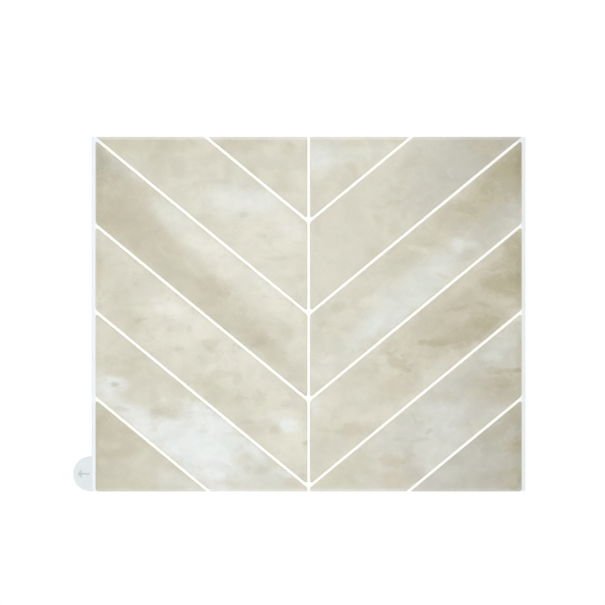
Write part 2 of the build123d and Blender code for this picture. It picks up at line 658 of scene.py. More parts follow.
PRINTS: dict[str, StonePrint] = {
    "tile_left_1": StonePrint(1.3, Tone.SAND, (
        Wash(Tone.IVORY, -7, 84, 9, 22, 0.35), Wash(Tone.TAN, -46, 113, 14, 6, 0.55),
        Wash(Tone.OLIVE, -56, 113, 8, 4, 0.4), torn(Tone.OLIVE, -14, 110, 6, 5, 0.55),
        torn(Tone.TAN, -13, 113, 3, 3, 0.4), Wash(Tone.OLIVE, -16, 90, 7, 8, 0.4),
        Wash(Tone.TAN, -38, 96, 6, 4, 0.3, -39),
    )),
    "tile_left_2": StonePrint(2.1, Tone.SAND, (
        Wash(Tone.IVORY, -34, 50, 56, 24, 0.75, -39), Wash(Tone.OLIVE, -106, 107, 26, 12, 0.55, -30),
        Wash(Tone.TAN, -128, 113, 10, 4, 0.4), torn(Tone.OLIVE, -96, 114, 16, 5, 0.7),
        torn(Tone.OLIVE, -90, 110, 7, 4, 0.4), torn(Tone.OLIVE, -101, 104, 7, 2, 0.4),
        Wash(Tone.PEARL, -114, 104, 9, 4, 0.25, -39), Wash(Tone.OLIVE, -70, 105, 8, 5, 0.35),
        Wash(Tone.OLIVE, -120, 115, 28, 8, 0.85), Wash(Tone.OLIVE, -81, 114, 9, 5, 0.55),
        torn(Tone.OLIVE, -58, 88, 7, 2, 0.4), torn(Tone.TAN, -70, 62, 14, 5, 0.3),
        Wash(Tone.VEIL, -47, 76, 23, 11, 0.45), Wash(Tone.VEIL, -28, 75, 14, 9, 0.4),
        Wash(Tone.BLUSH, -14, 62, 11, 8, 0.5, -39), Wash(Tone.BLUSH, -9, 56, 9, 8, 0.75),
        torn(Tone.OLIVE, -44, 66, 4, 2, 0.4), torn(Tone.TAN, -33, 52, 4, 2, 0.25),
        torn(Tone.TAN, -22, 37, 9, 1.6, 0.25), Wash(Tone.SAND, -7, 32, 7, 10, 0.6),
        torn(Tone.TAN, -7, 24, 7, 3, 0.25), Wash(Tone.SMOKE, -138, 116, 7, 4, 0.25),
    )),
    "tile_left_3": StonePrint(3.7, Tone.SAND, (
        Wash(Tone.OLIVE, -74, 14, 78, 12, 0.95, -39), Wash(Tone.TAN, -126, 68, 30, 26, 0.95, -39),
        Wash(Tone.OLIVE, -114, 76, 16, 14, 0.4), Wash(Tone.IVORY, -48, 28, 58, 10, 0.95, -39),
        Wash(Tone.IVORY, -14, 4, 16, 9, 0.8, -39), Wash(Tone.OCHRE, -130, 68, 14, 14, 0.22),
        Wash(Tone.OCHRE, -143, 85, 5, 26, 0.5), Wash(Tone.OLIVE, -128, 93, 9, 6, 0.5, -39),
        Wash(Tone.ASH, -134, 101, 11, 9, 0.9), Wash(Tone.OCHRE, -141, 105, 9, 11, 0.55),
        torn(Tone.OCHRE, -137, 92, 9, 5, 0.3), Wash(Tone.ASH, -125, 97, 8, 4, 0.5, -39),
        Wash(Tone.SMOKE, -143, 106, 9, 14, 0.6), Wash(Tone.PEARL, -116, 92, 8, 3, 0.35, -39),
        Wash(Tone.PEARL, -92, 68, 16, 8, 0.5, -39), Wash(Tone.BLUSH, -76, 53, 30, 7, 0.4, -39),
        Wash(Tone.BLUSH, -60, 41, 18, 6, 0.35, -39), torn(Tone.BLUSH, -34, 24, 9, 4, 0.5, -39),
        Wash(Tone.BLUSH, -27, 18, 17, 5, 0.45, -39), Wash(Tone.OCHRE, -134, 90, 9, 6, 0.28),
        torn(Tone.TAN, -134, 74, 13, 11, 0.4), Wash(Tone.TAN, -118, 47, 9, 6, 0.6, -39),
        Wash(Tone.TAN, -104, 40, 8, 5, 0.35, -39), torn(Tone.TAN, -107, 52, 11, 6, 0.5),
        Wash(Tone.TAN, -95, 47, 16, 7, 0.7, -39), torn(Tone.SAND, -77, 34, 8, 4, 0.35, -39),
        torn(Tone.TAN, -62, 18, 11, 7, 0.5), torn(Tone.TAN, -56, 15, 5, 5, 0.4),
        Wash(Tone.OCHRE, -64, 9, 7, 4, 0.2), torn(Tone.TAN, -34, -17, 10, 6, 0.6, -38),
        Wash(Tone.OCHRE, -31, -19, 5, 4, 0.25), Wash(Tone.OLIVE, -22, -29, 11, 6, 0.6, -38),
        Wash(Tone.IVORY, -6, -22, 8, 10, 0.5), torn(Tone.OLIVE, -14, -12, 5, 5, 0.35),
    )),
    "tile_left_4": StonePrint(4.9, Tone.SAND, stain=0.42, washes=(
        Wash(Tone.IVORY, -62, -25, 62, 25, 0.75, -39), Wash(Tone.IVORY, -66, -12, 50, 8, 0.85, -39),
        Wash(Tone.IVORY, -12, -84, 14, 24, 0.8), Wash(Tone.OLIVE, -137, 28, 9, 12, 0.4),
        Wash(Tone.TAN, -143, 32, 5, 22, 0.75), Wash(Tone.IVORY, -95, -13, 11, 8, 0.5),
        torn(Tone.OLIVE, -125, 12, 6, 8, 0.5), torn(Tone.ASH, -141, 6, 3, 3, 0.5),
        Wash(Tone.OLIVE, -122, 0, 12, 7, 0.4, -30), torn(Tone.OLIVE, -115, -8, 6, 5, 0.6),
        torn(Tone.OCHRE, -111, -5, 5, 1.3, 0.3, 20), Wash(Tone.BLUSH, -93, 4, 13, 6, 0.7, -15),
        torn(Tone.BLUSH, -94, 4, 9, 4, 0.5, -10), Wash(Tone.BLUSH, -78, -3, 12, 4, 0.4, -39),
        torn(Tone.OLIVE, -93, -10, 3, 2, 0.4), torn(Tone.OLIVE, -79, -9, 2, 3, 0.4),
        torn(Tone.OLIVE, -88, -23, 4, 2, 0.4), Wash(Tone.SAND, -80, -38, 10, 7, 0.6),
        torn(Tone.TAN, -69, -31, 8, 4, 0.25), torn(Tone.TAN, -66, -20, 6, 6, 0.35),
        torn(Tone.TAN, -66, -25, 3, 3, 0.35), torn(Tone.TAN, -58, -40, 9, 3, 0.3),
        Wash(Tone.OLIVE, -62, -52, 16, 8, 0.55, -30), torn(Tone.OLIVE, -67, -46, 9, 5, 0.5),
        torn(Tone.TAN, -67, -48, 4, 2, 0.3), torn(Tone.OLIVE, -47, -43, 4, 5, 0.4),
        Wash(Tone.OLIVE, -48, -58, 6, 7, 0.4), torn(Tone.OLIVE, -33, -56, 5, 5, 0.45),
        torn(Tone.OLIVE, -41, -71, 5, 2, 0.6), torn(Tone.OLIVE, -28, -70, 4, 2, 0.5),
        torn(Tone.ASH, -15, -60, 4, 3, 0.3), Wash(Tone.BLUSH, -22, -68, 11, 5, 0.5),
        torn(Tone.VEIL, -13, -74, 8, 5, 0.75), torn(Tone.TAN, -21, -77, 4, 3, 0.4),
        torn(Tone.OLIVE, -37, -77, 6, 3, 0.25), torn(Tone.OCHRE, -2, -86, 3, 2, 0.45),
        torn(Tone.ASH, -5, -108, 3, 1.5, 0.4),
    )),
    "tile_left_5": StonePrint(5.2, Tone.SAND, stain=0.1, washes=(
        Wash(Tone.VEIL, -74, -86, 36, 17, 0.75, -39), Wash(Tone.VEIL, -116, -68, 26, 8, 0.45, -30),
        Wash(Tone.PEARL, -40, -104, 24, 14, 0.6, -39), Wash(Tone.PEARL, -24, -109, 12, 7, 0.5, -39),
        Wash(Tone.VEIL, -134, -48, 12, 9, 0.45), Wash(Tone.OLIVE, -118, -30, 18, 9, 0.45, -39),
        Wash(Tone.PEARL, -139, -8, 6, 6, 0.12), Wash(Tone.OLIVE, -143, -24, 4, 18, 0.4),
        torn(Tone.OLIVE, -132, -5, 4, 3, 0.5), torn(Tone.OLIVE, -114, -20, 5, 4, 0.5),
        torn(Tone.OLIVE, -132, -30, 7, 3, 0.6), torn(Tone.OLIVE, -119, -31, 7, 3, 0.6),
        torn(Tone.OLIVE, -127, -39, 9, 4, 0.45), Wash(Tone.VEIL, -103, -30, 6, 3, 0.3, -39),
        torn(Tone.VEIL, -134, -48, 9, 6, 0.6), torn(Tone.VEIL, -124, -45, 6, 4, 0.5),
        torn(Tone.ASH, -129, -47, 3, 1.8, 0.7), torn(Tone.VEIL, -126, -60, 10, 4, 0.4, -30),
        torn(Tone.ASH, -124, -63, 5, 2, 0.45), torn(Tone.VEIL, -112, -67, 10, 5, 0.35, -30),
        Wash(Tone.VEIL, -113, -76, 13, 5, 0.7, -39), torn(Tone.VEIL, -84, -88, 21, 13, 0.8, -25),
        torn(Tone.VEIL, -68, -91, 18, 14, 0.85, -10), torn(Tone.VEIL, -62, -100, 12, 9, 0.7),
        Wash(Tone.VEIL, -55, -82, 11, 7, 0.85, -39), torn(Tone.VEIL, -66, -107, 10, 5, 0.5),
        torn(Tone.VEIL, -70, -68, 15, 7, 0.85, -33), Wash(Tone.VEIL, -92, -82, 9, 6, 0.6, -39),
        Wash(Tone.VEIL, -60, -104, 9, 7, 0.6), Wash(Tone.VEIL, -58, -75, 11, 7, 0.8, -39),
        torn(Tone.SAND, -98, -60, 13, 7, 0.8, -25), torn(Tone.OLIVE, -95, -66, 10, 4, 0.6, -15),
        torn(Tone.TAN, -103, -66, 4, 4, 0.35), torn(Tone.VEIL, -97, -57, 2, 2, 0.25),
        torn(Tone.OLIVE, -51, -80, 4, 1.5, 0.3), Wash(Tone.VEIL, -38, -90, 14, 4, 0.75, -39),
        torn(Tone.OLIVE, -45, -97, 6, 4, 0.35), torn(Tone.TAN, -34, -104, 8, 4, 0.3),
        torn(Tone.ASH, -41, -102, 4, 2, 0.4), torn(Tone.OLIVE, -52, -114, 9, 3, 0.3),
        Wash(Tone.VEIL, -61, -116, 10, 4, 0.6), Wash(Tone.VEIL, -78, -105, 10, 5, 0.5, -39),
        Wash(Tone.VEIL, -101, -87, 11, 5, 0.5, -39), torn(Tone.VEIL, -17, -106, 7, 1.8, 0.5, -20),
        Wash(Tone.TAN, -12, -112, 5, 3, 0.25),
    )),
    "tile_left_6": StonePrint(6.4, Tone.OLIVE, bevel_highlight=0.05, washes=(
        Wash(Tone.SAND, -100, -104, 26, 14, 0.8, -20), Wash(Tone.PEARL, -89, -112, 13, 7, 0.5),
        Wash(Tone.PEARL, -74, -117, 9, 4, 0.6), Wash(Tone.TAN, -138, -73, 8, 10, 0.6),
        Wash(Tone.OCHRE, -139, -69, 4, 4, 0.25), Wash(Tone.OCHRE, -143, -88, 4, 24, 0.35),
        torn(Tone.TAN, -128, -92, 14, 4, 0.6), torn(Tone.OCHRE, -134, -94, 9, 3, 0.12),
        Wash(Tone.TAN, -128, -82, 10, 7, 0.4), torn(Tone.TAN, -118, -88, 8, 4, 0.35),
        Wash(Tone.ASH, -132, -106, 12, 8, 0.4),
    )),
    "tile_right_1": StonePrint(7.8, Tone.SAND, (
        Wash(Tone.PEARL, 10, 108, 15, 10, 0.6), Wash(Tone.VEIL, 7, 103, 10, 9, 0.45),
        Wash(Tone.PEARL, 26, 103, 8, 5, 0.35), Wash(Tone.PEARL, 42, 108, 10, 5, 0.5, 10),
        Wash(Tone.PEARL, 54, 111, 6, 3, 0.4, 39), Wash(Tone.OLIVE, 60, 117, 8, 4, 0.6),
        torn(Tone.OLIVE, 30, 114, 8, 3, 0.5), torn(Tone.TAN, 29, 98, 5, 3, 0.3),
        Wash(Tone.IVORY, 6, 90, 6, 5, 0.4), torn(Tone.TAN, 8, 83, 7, 4, 0.25),
        Wash(Tone.TAN, 4, 76, 4, 5, 0.3),
    )),
    "tile_right_2": StonePrint(8.6, Tone.SAND, stain=0.15, cloud=0.025, bevel_highlight=0.05, washes=(
        Wash(Tone.IVORY, 12, 34, 14, 16, 0.3), Wash(Tone.ASH, 118, 110, 66, 36, 0.95, 39),
        Wash(Tone.TAN, 116, 113, 12, 6, 0.45), torn(Tone.OCHRE, 116, 113, 14, 6, 0.25),
        Wash(Tone.OCHRE, 123, 108, 12, 6, 0.28, 39), Wash(Tone.SMOKE, 135, 116, 11, 8, 0.5),
        torn(Tone.OLIVE, 46, 64, 5, 2.5, 0.6, -50), torn(Tone.OLIVE, 51, 60, 4, 2, 0.4),
        torn(Tone.TAN, 62, 86, 6, 4, 0.3, 30), torn(Tone.TAN, 65, 80, 4, 4, 0.25),
        torn(Tone.TAN, 58, 75, 5, 2, 0.35), torn(Tone.OLIVE, 65, 68, 2.5, 4, 0.4),
        torn(Tone.TAN, 68, 101, 10, 6, 0.28, 30), torn(Tone.TAN, 57, 57, 6, 4, 0.35, 30),
        Wash(Tone.OLIVE, 45, 41, 8, 4, 0.4, 39), torn(Tone.ASH, 88, 86, 9, 5, 0.3, 39),
    )),
    "tile_right_3": StonePrint(9.5, Tone.SAND, (
        Wash(Tone.OLIVE, 78, 50, 40, 10, 0.7, 39), Wash(Tone.TAN, 118, 80, 42, 15, 0.95, 39),
        Wash(Tone.ASH, 124, 60, 30, 10, 0.8, 39), Wash(Tone.OCHRE, 138, 98, 27, 15, 1.0, 39),
        Wash(Tone.OCHRE, 139, 108, 8, 10, 0.6), Wash(Tone.UMBER, 143, 94, 6, 28, 0.5),
        Wash(Tone.OCHRE, 122, 73, 26, 8, 0.45, 39), Wash(Tone.PEARL, 62, 6, 52, 9, 0.85, 39),
        Wash(Tone.PEARL, 86, 32, 15, 8, 0.55, 30), Wash(Tone.PEARL, 50, 10, 18, 8, 0.5, 39),
        torn(Tone.OCHRE, 120, 85, 8, 4, 0.5, 20), torn(Tone.OCHRE, 105, 71, 9, 6, 0.35),
        torn(Tone.TAN, 90, 68, 10, 5, 0.4, 39), torn(Tone.ASH, 130, 69, 14, 6, 0.6, 10),
        torn(Tone.TAN, 118, 60, 4, 2, 0.5), Wash(Tone.ASH, 104, 58, 10, 5, 0.4, 39),
        Wash(Tone.OLIVE, 68, 45, 9, 5, 0.45, 39), Wash(Tone.PEARL, 138, 64, 6, 3, 0.2, 30),
        Wash(Tone.ASH, 124, 48, 9, 4, 0.4, 39), Wash(Tone.VEIL, 60, -3, 10, 4, 0.35, 39),
        Wash(Tone.ASH, 131, 85, 9, 6, 0.3), Wash(Tone.SMOKE, 141, 114, 5, 4, 0.45),
        torn(Tone.PEARL, 100, 45, 5, 5, 0.7), torn(Tone.PEARL, 106, 46, 9, 2.5, 0.5),
        torn(Tone.IVORY, 73, 44, 8, 2, 0.4, -15), torn(Tone.TAN, 79, 47, 5, 2, 0.4),
        torn(Tone.OLIVE, 60, 35, 5, 3, 0.5), torn(Tone.PEARL, 86, 32, 13, 5, 0.5, 30),
        torn(Tone.OLIVE, 107, 38, 5, 2, 0.45, 20), Wash(Tone.ASH, 106, 40, 8, 4, 0.4, 39),
        torn(Tone.PEARL, 72, 24, 9, 9, 0.6), torn(Tone.TAN, 90, 25, 4, 1.6, 0.4, -15),
        torn(Tone.IVORY, 40, 8, 9, 5, 0.5), Wash(Tone.VEIL, 42, -8, 12, 6, 0.3, 39),
        torn(Tone.OLIVE, 21, 4, 6, 4, 0.7), torn(Tone.OLIVE, 10, -6, 6, 3, 0.4),
        Wash(Tone.OLIVE, 32, 15, 7, 5, 0.3, 39), torn(Tone.OLIVE, 26, -10, 4, 2, 0.35, -30),
        Wash(Tone.BLUSH, 10, -38, 13, 9, 0.5, 39),
    )),
    "tile_right_4": StonePrint(10.2, Tone.SAND, (
        Wash(Tone.TAN, 106, 2, 58, 25, 1.0, 39), Wash(Tone.OCHRE, 140, 34, 14, 26, 0.65),
        Wash(Tone.UMBER, 143, 30, 5, 30, 0.45), Wash(Tone.TAN, 62, -48, 16, 8, 0.5, 30),
        Wash(Tone.OCHRE, 130, 20, 15, 8, 0.6), Wash(Tone.OCHRE, 114, -9, 22, 9, 0.55, 20),
        torn(Tone.OCHRE, 129, 20, 13, 6, 0.5), Wash(Tone.UMBER, 139, 22, 6, 8, 0.3),
        Wash(Tone.OCHRE, 138, 47, 10, 9, 0.65), Wash(Tone.OCHRE, 126, 34, 10, 6, 0.35),
        Wash(Tone.OCHRE, 141, 11, 6, 7, 0.5), torn(Tone.SAND, 122, 36, 8, 2.5, 0.3, 40),
        torn(Tone.SAND, 132, 8, 8, 3, 0.3), Wash(Tone.SAND, 104, 18, 14, 4, 0.35, 39),
        torn(Tone.OCHRE, 99, 4, 9, 1.6, 0.45, 12), torn(Tone.OCHRE, 117, 6, 6, 2, 0.35, -10),
        torn(Tone.OCHRE, 118, -5, 12, 6, 0.5), Wash(Tone.TAN, 131, -4, 4, 2, 0.7, 39),
        torn(Tone.OCHRE, 84, -18, 11, 3, 0.6, 4), Wash(Tone.OCHRE, 104, -18, 10, 5, 0.4, 20),
        Wash(Tone.PEARL, 84, -38, 12, 5, 0.4, 39), torn(Tone.OCHRE, 61, -32, 9, 5, 0.35, -30),
        torn(Tone.OCHRE, 55, -26, 3, 1.6, 0.4), torn(Tone.OCHRE, 63, -26, 2, 1.2, 0.4),
        torn(Tone.OCHRE, 66, -37, 3, 1.6, 0.4), Wash(Tone.TAN, 56, -22, 8, 5, 0.4, 39),
        torn(Tone.TAN, 46, -36, 3, 3, 0.4), torn(Tone.TAN, 54, -48, 9, 6, 0.3),
        Wash(Tone.OLIVE, 36, -41, 12, 6, 0.45, 30), Wash(Tone.IVORY, 12, -60, 10, 7, 0.4, 39),
        Wash(Tone.IVORY, 44, -68, 12, 5, 0.35, 39), Wash(Tone.OLIVE, 18, -76, 14, 5, 0.35),
        torn(Tone.TAN, 29, -79, 11, 5, 0.7), Wash(Tone.TAN, 33, -77, 9, 5, 0.4),
        Wash(Tone.VEIL, 4, -61, 4, 6, 0.5), Wash(Tone.OLIVE, 9, -87, 6, 7, 0.25),
    )),
    "tile_right_5": StonePrint(11.9, Tone.SAND, (
        Wash(Tone.MIST, 92, -68, 70, 28, 0.75, 39), Wash(Tone.ASH, 118, -46, 44, 26, 0.8, 39),
        Wash(Tone.OLIVE, 28, -106, 20, 9, 0.7, 30), Wash(Tone.PEARL, 92, -72, 24, 9, 0.5, 39),
        Wash(Tone.PEARL, 128, -21, 14, 6, 0.4, 39), Wash(Tone.ASH, 134, -14, 8, 4, 0.35, 39),
        Wash(Tone.TAN, 127, -50, 20, 11, 0.8), Wash(Tone.OCHRE, 134, -46, 12, 7, 0.35),
        Wash(Tone.SMOKE, 130, -55, 15, 8, 0.5), Wash(Tone.SMOKE, 116, -49, 7, 5, 0.3),
        Wash(Tone.OCHRE, 143, -34, 5, 28, 0.5), torn(Tone.PEARL, 122, -30, 7, 4, 0.4),
        torn(Tone.OCHRE, 132, -38, 13, 2.6, 0.5, 5), torn(Tone.UMBER, 140, -37, 4, 1.8, 0.4),
        torn(Tone.OCHRE, 131, -44, 10, 4, 0.3), torn(Tone.OLIVE, 112, -50, 5, 5, 0.4),
        torn(Tone.TAN, 90, -55, 10, 3, 0.3), torn(Tone.PEARL, 84, -62, 11, 5, 0.5),
        torn(Tone.ASH, 70, -69, 5, 1.2, 0.5, -50), torn(Tone.OLIVE, 110, -74, 5, 3, 0.4),
        torn(Tone.PEARL, 98, -80, 9, 5, 0.4), torn(Tone.ASH, 82, -79, 3, 1.6, 0.6, 40),
        torn(Tone.ASH, 75, -84, 8, 2, 0.6, 5), torn(Tone.ASH, 62, -84, 6, 1.5, 0.4),
        torn(Tone.ASH, 67, -93, 4, 2, 0.4, -30), Wash(Tone.ASH, 67, -88, 9, 4, 0.4, 30),
        Wash(Tone.OLIVE, 45, -108, 9, 5, 0.35), Wash(Tone.TAN, 59, -111, 11, 8, 0.6),
        Wash(Tone.PEARL, 86, -95, 13, 6, 0.5, 39), torn(Tone.TAN, 58, -98, 12, 5, 0.6),
        Wash(Tone.OCHRE, 60, -101, 9, 4, 0.15), torn(Tone.PEARL, 33, -109, 6, 3, 0.35),
        Wash(Tone.ASH, 70, -108, 9, 6, 0.7),
    )),
    "tile_right_6": StonePrint(12.7, Tone.ASH, bevel_highlight=0.0, washes=(
        Wash(Tone.SMOKE, 132, -95, 28, 28, 0.46), Wash(Tone.MIST, 84, -112, 20, 7, 0.5, 25),
        Wash(Tone.MIST, 118, -100, 13, 7, 0.25), Wash(Tone.OCHRE, 138, -65, 11, 9, 0.5),
        torn(Tone.OCHRE, 128, -78, 12, 5, 0.35, 30), torn(Tone.OCHRE, 138, -89, 8, 7, 0.6),
        torn(Tone.UMBER, 139, -88, 4, 2, 0.25), torn(Tone.OCHRE, 137, -110, 11, 8, 0.45),
        Wash(Tone.UMBER, 143, -90, 6, 30, 0.3), Wash(Tone.UMBER, 141, -112, 6, 7, 0.1),
        Wash(Tone.SMOKE, 118, -111, 20, 6, 0.25),
    )),
}


@dataclass(frozen=True)
class FilmFinish:
    """White vinyl film: warm white in the joints and cooler in the uncovered side strips, with painted shade
    darkening the right strip and greying the upper corners.
    """

    joint: RGB = (255, 255, 252)
    shade: RGB = (252, 252, 250)
    left_strip: RGB = (239, 242, 246)
    # Darker than the left strip: painted shade, for the dimmer light on the right side.
    right_strip_shaded: RGB = (231, 236, 237)
    strip_blur: float = 0.3 * MM
    # How far the painted shade of the upper corners reaches, and where it is full.
    corner: float = 8 * MM
    corner_shade_full: float = 1.6 * MM
    roughness: float = 0.42
    cast: Noise = Noise(60.0, 3.0, span=(0.35, 0.65))
    grain: Noise = Noise(2600.0, 3.0, 0.6)
    relief: Relief = Relief(0.2, 0.02 * MM)

    def material(self, strip_from: float, top: float) -> bpy.types.Material:
        """The film's finish.

        Args:
            strip_from: How far from the middle line the side strips start, in metres.
            top: How far from the middle the top edge is, in metres.

        Returns:
            A satin white material.
        """
        material, bench, shader = surface("film_vinyl", Roughness=self.roughness, IOR=1.46)
        position = bench.position()
        along = bench.add("ShaderNodeSeparateXYZ", {0: position}).outputs
        outward = bench.maths("ABSOLUTE", along["X"])
        at_side = bench.ramp(outward, strip_from - self.strip_blur, strip_from + self.strip_blur)
        # Painted shade: near the upper corners the white turns to the strip colour, where the light falls
        # off.
        corner_shade_side = bench.ramp(outward, strip_from - self.corner, strip_from)
        corner_shade_top = bench.ramp(along["Y"], top - self.corner, top - self.corner_shade_full)
        strip_and_corner_shade = bench.maths("MAXIMUM", at_side, bench.maths("MULTIPLY", corner_shade_side, corner_shade_top))
        white = bench.mix(self.cast.spread(bench, position), linear(self.joint), linear(self.shade))
        across = bench.ramp(along["X"], -strip_from, strip_from)
        strip = bench.mix(across, linear(self.left_strip), linear(self.right_strip_shaded))
        bench.link(bench.mix(strip_and_corner_shade, white, strip), shader["Base Color"])
        bench.link(self.relief.normal(bench, self.grain.plain(bench, position)), shader["Normal"])
        return material


@dataclass(frozen=True)
class LinerFinish:
    """Pale blue-grey release paper with a faint fibre and a satin coat."""

    paper: RGB = (225, 231, 232)
    fibre: RGB = (218, 225, 227)
    roughness: float = 0.38
    fibres: Noise = Noise(700.0, 4.0, 0.6, 0.5, span=(0.42, 0.68))
    fibre_stretch: Triple = (1.0, 4.5, 1.0)
    fibre_turn: float = 24.0
    patches: Noise = Noise(130.0, 3.0, span=(0.25, 0.7))
    faintest: float = 0.4
    relief: Relief = Relief(0.25, 0.02 * MM)

    def material(self) -> bpy.types.Material:
        """The paper's finish.

        Returns:
            A satin paper material.
        """
        material, bench, shader = surface("liner_paper", Roughness=self.roughness, IOR=1.42)
        position = bench.position()
        fibres = self.fibres.plain(bench, bench.stretched(position, self.fibre_stretch, self.fibre_turn))
        patches = self.patches.spread(bench, position, self.faintest)
        share = bench.maths("MULTIPLY", bench.ramp(fibres, *self.fibres.span), patches)
        bench.link(bench.mix(share, linear(self.paper), linear(self.fibre)), shader["Base Color"])
        bench.link(self.relief.normal(bench, fibres), shader["Normal"])
        return material


@dataclass(frozen=True)
class InkFinish:
    """Thin grey printing ink, a little worn."""

    ink: RGB = (184, 192, 196)
    worn: RGB = (204, 212, 215)
    roughness: float = 0.5
    wear: Noise = Noise(2400.0, 3.0, span=(0.42, 0.66))

    def material(self) -> bpy.types.Material:
        """The ink's finish.

        Returns:
            A matt grey material.
        """
        material, bench, shader = surface("tab_ink", Roughness=self.roughness)
        wear = self.wear.spread(bench, bench.position())
        bench.link(bench.mix(wear, linear(self.ink), linear(self.worn)), shader["Base Color"])
        return material


@dataclass
class SheetLayout:
    """Where the tiles lie on the film. The film's place comes from the frame."""

    tile_angle: float = radians(39.5)
    tile_pitch: float = 57.8 * MM
    top_tile_pitch: float = 61.8 * MM
    joints_below_middle: int = 3
    joint_width: float = 2.1 * MM
    side_strip: float = 2.2 * MM
    bevel_width: float = 2.0 * MM
    film_high: Vector = field(default_factory=lambda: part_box("backing_film")[1])

    @property
    def half_height(self) -> float:
        """From the middle to the top edge."""
        return self.film_high.y

    @property
    def inner_x(self) -> float:
        """Where the tiles start beside the middle joint."""
        return self.joint_width / 2

    @property
    def outer_x(self) -> float:
        """Where the tiles end beside the side strip."""
        return self.film_high.x - self.side_strip

    @property
    def joint_half_rise(self) -> float:
        """Half a slanted joint's width, measured up the sheet."""
        return self.joint_width / 2 / cos(self.tile_angle)

    def joints(self) -> list[float]:
        """Where each slanted joint meets the middle line, from the top down."""
        below = [-step * self.tile_pitch for step in range(self.joints_below_middle + 1)]
        return [self.top_tile_pitch] + below


@dataclass
class TileRow:
    """One row of the chevron: a slanted gel tile on the right and its mirrored copy on the left.

    A tile is the band between two joints, with rounded corners, a soft rim and bevelled cut edges.
    """

    layout: SheetLayout
    number: int
    upper_joint: Optional[float]
    lower_joint: Optional[float]
    rim_radius: float = 0.7 * MM
    rim_steps: int = 6
    bevel_drop: float = 0.8 * MM
    acute_radius: float = 1.0 * MM
    obtuse_radius: float = 3.5 * MM
    sheet_radius: float = 1.8 * MM
    corner_steps: int = 8
    corner_share: float = 0.45
    cell: float = 4.0 * MM
    short_edge: float = 1.0 * MM
    ripple_height: float = 0.05 * MM
    ripple_length: float = 34 * MM
    ripple_octaves: int = 1
    smooth_angle: float = radians(19)

    def node(self, side: Side) -> str:
        """The CAD node of the row's tile on one side."""
        return f"tile_{side.word}_{self.number}"

    def build(self) -> dict[Side, bpy.types.Object]:
        """Model the row's right tile from a plane and mirror a copy of it.

        Returns:
            The finished tile of each side.
        """
        layout = self.layout
        right = new_plane(f"gel_{self.node(Side.RIGHT)}", (layout.inner_x, -layout.half_height),
                          (layout.outer_x, layout.half_height), layout.film_high.z)
        with editing(right):
            self._trim()
            self._round_corners(right)
            self._raise(right)
            self._round_rim(right)
            self._bevel_cut_edges(right)
            face_outwards()
            self._divide_top(right)
        tiles = {Side.RIGHT: right, Side.LEFT: self._mirrored(right)}
        for side, piece in tiles.items():
            self._ripple(piece, side)
            take(piece)
            bpy.ops.object.shade_smooth_by_angle(angle=self.smooth_angle)
            apply_modifier(piece, "WEIGHTED_NORMAL", keep_sharp=True)
        return tiles

    def dress(self, piece: bpy.types.Object, side: Side, groups: PrintGroups) -> None:
        """Give a tile its print and put it in the CAD tile's place.

        Args:
            piece: The modelled tile.
            side: The tile's half of the chevron.
            groups: The shared print groups.
        """
        node = self.node(side)
        piece.data.materials.append(PRINTS[node].material(node, groups))
        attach(piece, BODY)
        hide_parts(node)

    def _trim(self) -> None:
        """Cut the plane along the two joints that bound the tile."""
        layout = self.layout
        upward = (-sin(layout.tile_angle), cos(layout.tile_angle), 0.0)
        if self.upper_joint is not None:
            edge = (0.0, self.upper_joint - layout.joint_half_rise, layout.film_high.z)
            bpy.ops.mesh.bisect(plane_co=edge, plane_no=upward, clear_outer=True, threshold=NEAR)
            bpy.ops.mesh.select_all(action="SELECT")
        if self.lower_joint is not None:
            edge = (0.0, self.lower_joint + layout.joint_half_rise, layout.film_high.z)
            bpy.ops.mesh.bisect(plane_co=edge, plane_no=upward, clear_inner=True, threshold=NEAR)

    def _corner_radius(self, place: Vector, angle: float) -> float:
        """The rounding of one corner.

        Args:
            place: The corner's place.
            angle: The angle inside the corner.

        Returns:
            The radius, or zero where the corner is cut square.
        """
        at_cut = abs(abs(place.y) - self.layout.half_height) < NEAR
        at_side = abs(place.x - self.layout.outer_x) < NEAR
        if at_cut:
            return self.sheet_radius if at_side else 0.0
        return self.acute_radius if angle < pi / 2 else self.obtuse_radius

    def _round_corners(self, piece: bpy.types.Object) -> None:
        """Round the outline's corners, the sharp ones less than the blunt ones.

        Args:
            piece: The flat outline in edit mode.
        """
        outline = bmesh.from_edit_mesh(piece.data)
        outline.faces.ensure_lookup_table()
        corners = []
        for loop in outline.faces[0].loops:
            place = loop.vert.co.copy()
            back = loop.link_loop_prev.vert.co - place
            ahead = loop.link_loop_next.vert.co - place
            angle = back.angle(ahead)
            room = self.corner_share * min(back.length, ahead.length)
            corners.append((place, min(self._corner_radius(place, angle) / tan(angle / 2), room)))
        for place, offset in corners:
            if offset > NEAR:
                pick_vertices(piece, lambda vertex: (vertex.co - place).length < NEAR)
                bpy.ops.mesh.bevel(offset=offset, offset_type="OFFSET", segments=self.corner_steps,
                                   affect="VERTICES", clamp_overlap=False)

    def _top(self) -> float:
        """The height of the row's tiles."""
        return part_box(self.node(Side.RIGHT))[1].z

    def _raise(self, piece: bpy.types.Object) -> None:
        """Raise the outline to the tile's height.

        Args:
            piece: The flat outline in edit mode.
        """
        height = self._top() - self.layout.film_high.z
        pick_faces(piece, lambda face: True)
        bpy.ops.mesh.extrude_region_move(TRANSFORM_OT_translate={"value": (0.0, 0.0, height)})

    def _is_rim(self, edge: bmesh.types.BMEdge) -> bool:
        """Tell whether an edge is an upper one along a joint or a side, not along the sheet's cut edges.

        Args:
            edge: An edge of the block.

        Returns:
            True for an edge that the rim rounds over.
        """
        ends = [vertex.co for vertex in edge.verts]
        cut = all(abs(abs(end.y) - self.layout.half_height) < NEAR for end in ends)
        return not cut and all(end.z > self._top() - NEAR for end in ends)

